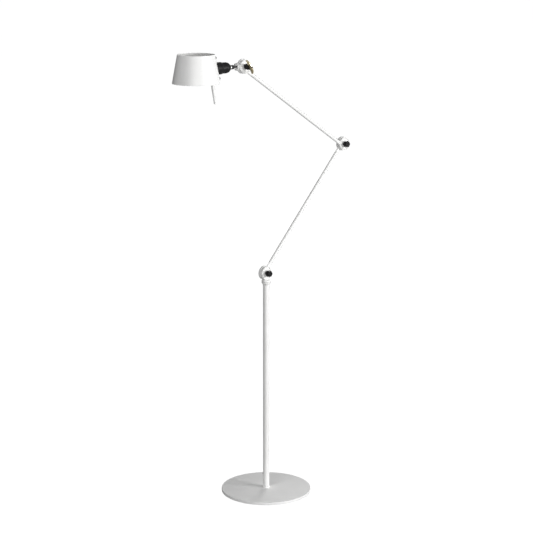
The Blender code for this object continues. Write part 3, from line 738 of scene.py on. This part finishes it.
def make_holder():
    along = spot(ROLL, TO_SHADE)
    inner = STEM_RADIUS + GAP
    start, end = span_of("gland_nut")
    corners = 0.0080
    bevel = 0.0012
    narrow, wide = corners - 0.0012, corners + 0.0004
    outline = rounded([(0.0, end), (narrow, end), (wide, end - bevel),
                       (wide, start + bevel), (narrow, start), (0.0, start)], closed=False)
    nut = turned("gland_nut_fine", outline, along, closed=False, steps=72)
    combine(nut, prism(6, corners, start - 0.001, end + 0.001, along, math.pi / 6), "INTERSECT")
    combine(nut, prism(32, inner, start - 0.002, end + 0.002, along))
    stand_for(soften(nut, 0.00025, 2), "gland_nut")

    start, end = span_of("neck_bush")
    wide, waist = 0.0088, 0.0084
    outline = rounded([(inner, end), (wide, end, 0.0006), (wide, end - 0.0024, 0.0002),
                       (waist, end - 0.0028, 0.0002), (waist, start + 0.0022, 0.0002),
                       (wide, start + 0.0018, 0.0002), (wide, start, 0.0006), (inner, start)])
    stand_for(turned("neck_bush_fine", outline, along, steps=80), "neck_bush")

    start, end = span_of("holder_cap")
    dome = 0.017
    shoulder = start + dome
    groove = end - 0.0122
    cap = [(HOLDER_RADIUS - 0.0022, end), (HOLDER_RADIUS - 0.0004, end), (HOLDER_RADIUS, end - 0.0004),
           (HOLDER_RADIUS, groove + 0.0010), (HOLDER_RADIUS - 0.0007, groove + 0.0007),
           (HOLDER_RADIUS - 0.0007, groove - 0.0007), (HOLDER_RADIUS, groove - 0.0010),
           (HOLDER_RADIUS, shoulder)]
    angles = [math.radians(5 * i) for i in range(1, 19)]
    cap += [(0.0088 + (HOLDER_RADIUS - 0.0088) * math.cos(a), shoulder - dome * math.sin(a)) for a in angles]
    cap += [(inner, start), (inner, start + 0.0042), (0.0110, start + 0.0057),
            (HOLDER_RADIUS - 0.0022, shoulder + 0.001)]
    stand_for(turned("holder_cap_fine", cap, along, steps=96), "holder_cap")

    start = span_of("holder_skirt")[0]
    skirt = rounded([(0.0186, 0.165), (SKIRT_RADIUS, 0.165), (SKIRT_RADIUS, start, 0.0014), (0.0186, start)])
    skirt = turned("holder_skirt_fine", skirt, along, steps=120)
    high, low = 0.06, -0.05
    cone = turned("cone", [(0.0, high), (wall_radius(high) + 0.0001, high), (wall_radius(low) + 0.0001, low),
                           (0.0, low)], spot(SHADE_CENTRE), closed=False, steps=256)
    combine(skirt, cone)
    stand_for(skirt, "holder_skirt")


def make_bulb():
    start, end = span_of("bulb_glass")
    ball = size_of("bulb_glass").z / 2
    centre = end - ball
    glass = [(0.0, end)] + arc((0.0, centre), ball, 87, -38, 36)
    low_angle = math.radians(-38)
    slope = Vector((math.sin(low_angle), -math.cos(low_angle)))
    first = Vector(glass[-1])
    last = Vector((0.0126, start + 0.004))
    curve = interpolate_bezier(first, first + slope * 0.012, last + Vector((0, 0.014)), last, 16)
    glass += [tuple(point)[:2] for point in curve[1:]] + [(0.0126, start)]
    bulb = turned("bulb_glass_fine", glass, spot(ROLL, TO_SHADE), closed=False, steps=72)
    shell = bulb.modifiers.new("Shell", "SOLIDIFY")
    shell.thickness = 0.0008
    shell.offset = -1.0
    stand_for(settle(bulb), "bulb_glass")


# Shade.

def shade_bolt_places():
    """Each bolt's foot on the wall and its outward direction, in the shade's frame."""
    lean = math.atan2(SHADE_BOTTOM_RADIUS - SHADE_TOP_RADIUS, SHADE_HIGH - SHADE_LOW)
    for height in SHADE_BOLT_HEIGHTS:
        for angle in (-SHADE_BOLT_ANGLE, SHADE_BOLT_ANGLE):
            radius = wall_radius(height)
            level = math.cos(lean)
            out = Vector((level * math.cos(angle), level * math.sin(angle), math.sin(lean)))
            yield Vector((radius * math.cos(angle), radius * math.sin(angle), height)), out


def bolt_frame(foot, out):
    return spot(SHADE_CENTRE) @ Matrix.Translation(foot) @ out.to_track_quat("Z", "Y").to_matrix().to_4x4()


def make_shade():
    """Spun sheet with a hem folded inward at both rims."""
    high, low = SHADE_HIGH - HEAD.z, SHADE_LOW - HEAD.z
    hem, hem_wall = 0.0030, 0.0022
    outline = rounded([(wall_radius(high), high, 0.0007), (wall_radius(low), low, 0.0007),
                       (wall_radius(low) - hem_wall, low, 0.0007),
                       (wall_radius(low + hem) - hem_wall, low + hem, 0.0006),
                       (wall_radius(low + hem) - SHADE_WALL, low + hem + 0.0004),
                       (wall_radius(high - hem) - SHADE_WALL, high - hem - 0.0004),
                       (wall_radius(high - hem) - hem_wall, high - hem, 0.0006),
                       (wall_radius(high) - hem_wall, high, 0.0007)])
    shade = turned("shade_fine", outline, spot(SHADE_CENTRE), steps=288)
    combine(shade, prism(72, BULB_HOLE_RADIUS, 0.05, 0.10, spot(SHADE_CENTRE, ALONG_X)))
    for foot, out in shade_bolt_places():
        combine(shade, prism(24, 0.0025, -0.006, 0.006, bolt_frame(foot, out)))
    stand_for(shade, "shade")

    for number, (foot, out) in enumerate(shade_bolt_places(), 1):
        node = f"shade_bolt_{number}"
        seat = GAP + 0.0001
        outline = [(0.0, 0.0052)] + arc((0.0, -0.0002), 0.0054, 76, 32, 8)
        outline += [(0.0047, 0.0014), (0.0047, seat), (0.0022, seat), (0.0022, -0.0030), (0.0018, -0.0034),
                    (0.0, -0.0034)]
        bolt = turned(node + "_fine", outline, bolt_frame(foot, out), closed=False, steps=40)
        combine(bolt, prism(6, 0.0018, 0.0028, 0.0080, bolt_frame(foot, out)))
        stand_for(bolt, node)


def make_saddle():
    """The curved plate behind the wall, with a tab for the handle."""
    where = spot(SHADE_CENTRE)
    inset = SHADE_WALL + GAP
    thick = 0.0015
    reach = 0.0435
    outline = [(wall_radius(reach) - inset, reach), (wall_radius(-reach) - inset, -reach),
               (wall_radius(-reach) - inset - thick, -reach), (wall_radius(reach) - inset - thick, reach)]
    body = bmesh.new()
    half, count = math.radians(38), 32
    rings = []
    for i in range(count + 1):
        angle = -half + 2 * half * i / count
        rings.append([body.verts.new((r * math.cos(angle), r * math.sin(angle), z)) for r, z in outline])
    for ring, onward in zip(rings, rings[1:]):
        for i in range(4):
            body.faces.new((ring[i], ring[(i + 1) % 4], onward[(i + 1) % 4], onward[i]))
    body.faces.new(rings[0])
    body.faces.new(list(reversed(rings[-1])))
    saddle = solid_from("shade_saddle_fine", body, where)
    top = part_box("handle_screw")[0].z - 0.0008 - HEAD.z
    depth = 0.0205
    outer = wall_radius(top) - inset - 0.0006
    combine(saddle, block((depth, 0.015, 0.0020), (outer - depth / 2, 0, top + 0.0013), where), "UNION")
    for foot, out in shade_bolt_places():
        combine(saddle, prism(24, 0.0025, -0.006, 0.006, bolt_frame(foot, out)))
    combine(saddle, prism(72, BULB_HOLE_RADIUS, 0.05, 0.10, spot(SHADE_CENTRE, ALONG_X)))
    combine(saddle, prism(24, 0.0022, top - 0.002, top + 0.006, spot((wall_radius(top) - HANDLE_INSET, 0, 0),
                                                                     base=where)))
    stand_for(soften(saddle, 0.0003, 2), "shade_saddle")
    return top


def make_handle(top):
    """The tapered rod that turns the shade, and the screw that holds it to the tab."""
    foot = SHADE_CENTRE + Vector((wall_radius(top) - HANDLE_INSET, 0, top))
    wide, narrow, length, clear = 0.0068, 0.0044, 0.087, 0.0015
    rod = rounded([(0.0, -clear), (wide, -clear, 0.0008), (narrow + 0.0001, -length + 0.0004, 0.0022),
                   (0.0, -length)], closed=False, steps=8)
    stand_for(turned("handle_rod_fine", rod, spot(foot, (0, -math.radians(9.0), 0)), closed=False),
              "handle_rod")
    screw = [(0.0, 0.0048)] + arc((0.0, 0.0014), 0.0034, 75, 22, 6)
    screw += [(0.0034, 0.0026), (0.0018, 0.0026), (0.0018, 0.0008), (0.0, 0.0008)]
    screw = turned("handle_screw_fine", screw, spot(foot), closed=False, steps=40)
    combine(screw, prism(6, 0.0014, 0.0034, 0.0060, spot(foot)))
    stand_for(screw, "handle_screw")


def finish_kept_nodes():
    """The inner pieces keep their CAD shape and get the same finishes."""
    for node, obj in frame["nodes"].items():
        if not obj.hide_render:
            obj.data.materials.clear()
            obj.data.materials.append(FINISH[SLOT_OF[node]])


# Studio.

CAMERA_TURN = math.radians(-41.76)
CAMERA_PITCH = math.radians(12.53)
CAMERA_PLACE = (-4.0799, -4.5716, 2.2645)
CAMERA_LENS = 110.8
CAMERA_RIGHT = (math.cos(CAMERA_TURN), math.sin(CAMERA_TURN), 0.0)
LIT_POINT = (0.0, 0.0, 0.9)
LIGHT_DISTANCE = 8.0
FLOOR_HALF = 150.0
FLOOR_DROP = 0.0002
BACKDROP = 1.0
WORLD_LIGHT = (0.02, 0.10)
WORLD_MIRRORED = (0.05, 0.40)
FLOOR_GLOW = (0.05, 0.38)
FLOOR_REACH = 3.0


def make_camera():
    data = bpy.data.cameras.new("camera")
    data.sensor_width = 36.0
    data.lens = CAMERA_LENS
    camera = bpy.data.objects.new("camera", data)
    bpy.context.scene.collection.objects.link(camera)
    camera.location = CAMERA_PLACE
    camera.rotation_euler = (math.pi / 2 - CAMERA_PITCH, 0.0, CAMERA_TURN)
    bpy.context.scene.camera = camera


def soft_box(name, turn, rise, size, level, glossy=True):
    """A rectangular soft light at a turn to the camera's right and a rise above level, aimed at the lamp.

    Its level is the brightness that it gives a white surface facing it.
    """
    data = bpy.data.lights.new(name, "AREA")
    data.shape = "RECTANGLE"
    data.size, data.size_y = size
    data.energy = level * (math.pi * LIGHT_DISTANCE) ** 2
    light = bpy.data.objects.new(name, data)
    bpy.context.scene.collection.objects.link(light)
    angle, rise = CAMERA_TURN + math.radians(turn), math.radians(rise)
    toward = Vector((math.cos(rise) * math.sin(angle), -math.cos(rise) * math.cos(angle), math.sin(rise)))
    light.location = Vector(LIT_POINT) + toward * LIGHT_DISTANCE
    light.rotation_euler = toward.to_track_quat("Z", "Y").to_euler()
    light.visible_camera = False
    light.visible_glossy = glossy


def node_value(links, source, socket):
    """Feeds a socket from another socket or from a plain number."""
    if isinstance(source, (int, float)):
        socket.default_value = source
    else:
        links.new(source, socket)


def rightward(nodes, links, coordinates, left, right, reach):
    """A value that changes from left to right as the main camera sees it, over that reach either way."""
    side = nodes.new("ShaderNodeVectorMath")
    side.operation = "DOT_PRODUCT"
    side.inputs[1].default_value = CAMERA_RIGHT
    links.new(coordinates, side.inputs[0])
    level = nodes.new("ShaderNodeMapRange")
    level.inputs["From Min"].default_value = -reach
    level.inputs["From Max"].default_value = reach
    level.inputs["To Min"].default_value = left
    level.inputs["To Max"].default_value = right
    links.new(side.outputs["Value"], level.inputs["Value"])
    return level.outputs["Result"]


def choose(nodes, links, test, otherwise, value):
    """The value where the test is 1, and the other where it is 0."""
    mix = nodes.new("ShaderNodeMix")
    links.new(test, mix.inputs["Factor"])
    node_value(links, otherwise, mix.inputs["A"])
    node_value(links, value, mix.inputs["B"])
    return mix.outputs["Result"]


def make_world():
    """Dim as a light, brighter on the main camera's right and in reflections, and white to the camera."""
    world = bpy.data.worlds.new("studio")
    bpy.context.scene.world = world
    world.use_nodes = True
    nodes, links = world.node_tree.nodes, world.node_tree.links
    place = nodes.new("ShaderNodeTexCoord").outputs["Generated"]
    path = nodes.new("ShaderNodeLightPath").outputs
    light = rightward(nodes, links, place, *WORLD_LIGHT, 1.0)
    mirrored = rightward(nodes, links, place, *WORLD_MIRRORED, 1.0)
    level = choose(nodes, links, path["Is Glossy Ray"], light, mirrored)
    level = choose(nodes, links, path["Is Camera Ray"], level, BACKDROP)
    background = nodes["Background"]
    background.inputs["Color"].default_value = (1.0, 1.0, 1.0, 1.0)
    links.new(level, background.inputs["Strength"])


def make_floor():
    """A floor that is white to the camera and gives off light, more of it on the main camera's right."""
    body = bmesh.new()
    bmesh.ops.create_grid(body, x_segments=1, y_segments=1, size=FLOOR_HALF)
    floor = solid_from("floor", body, spot((0, 0, -FLOOR_DROP)))
    material = bpy.data.materials.new("floor")
    material.use_nodes = True
    nodes, links = material.node_tree.nodes, material.node_tree.links
    shader = nodes["Principled BSDF"]
    shader.inputs["Base Color"].default_value = (0.12, 0.12, 0.12, 1.0)
    shader.inputs["Roughness"].default_value = 0.9
    shader.inputs["Specular IOR Level"].default_value = 0.0
    shader.inputs["Emission Color"].default_value = (1.0, 1.0, 1.0, 1.0)
    place = nodes.new("ShaderNodeTexCoord").outputs["Object"]
    path = nodes.new("ShaderNodeLightPath").outputs
    glow = rightward(nodes, links, place, *FLOOR_GLOW, FLOOR_REACH)
    level = choose(nodes, links, path["Is Camera Ray"], glow, BACKDROP)
    links.new(level, shader.inputs["Emission Strength"])
    floor.data.materials.append(material)


def make_studio():
    bpy.context.scene.view_settings.view_transform = "Standard"
    make_camera()
    make_world()
    make_floor()
    soft_box("main", 66.0, 11.0, (3.6, 2.6), 0.84)
    soft_box("front", -6.0, 3.0, (4.0, 2.2), 0.31)
    soft_box("left", -26.0, 50.0, (3.0, 3.0), 0.24)
    soft_box("back", 166.0, 40.0, (1.6, 1.6), 0.17, glossy=False)
    soft_box("behind", 150.0, 6.0, (5.0, 3.0), 0.45, glossy=False)


make_studio()
make_base()
make_pole()
make_collar()
make_knuckle()
make_arm("lower_arm", KNEE, ELBOW, BACK_Y, BACK_DISC_RADIUS, BACKWARD, 0.0)
make_arm("upper_arm", ELBOW, HEAD, 0.0, FRONT_DISC_RADIUS, FORWARD, UPPER_TUBE_DROP)
for joint_name, joint_place in (("knee", KNEE), ("elbow", ELBOW), ("head", HEAD)):
    make_clamp(joint_name, joint_place)
make_knob("knee_knob", KNEE)
make_knob("elbow_knob", ELBOW)
make_wing_nut()
make_head()
make_holder()
make_bulb()
make_shade()
make_handle(make_saddle())
finish_kept_nodes()
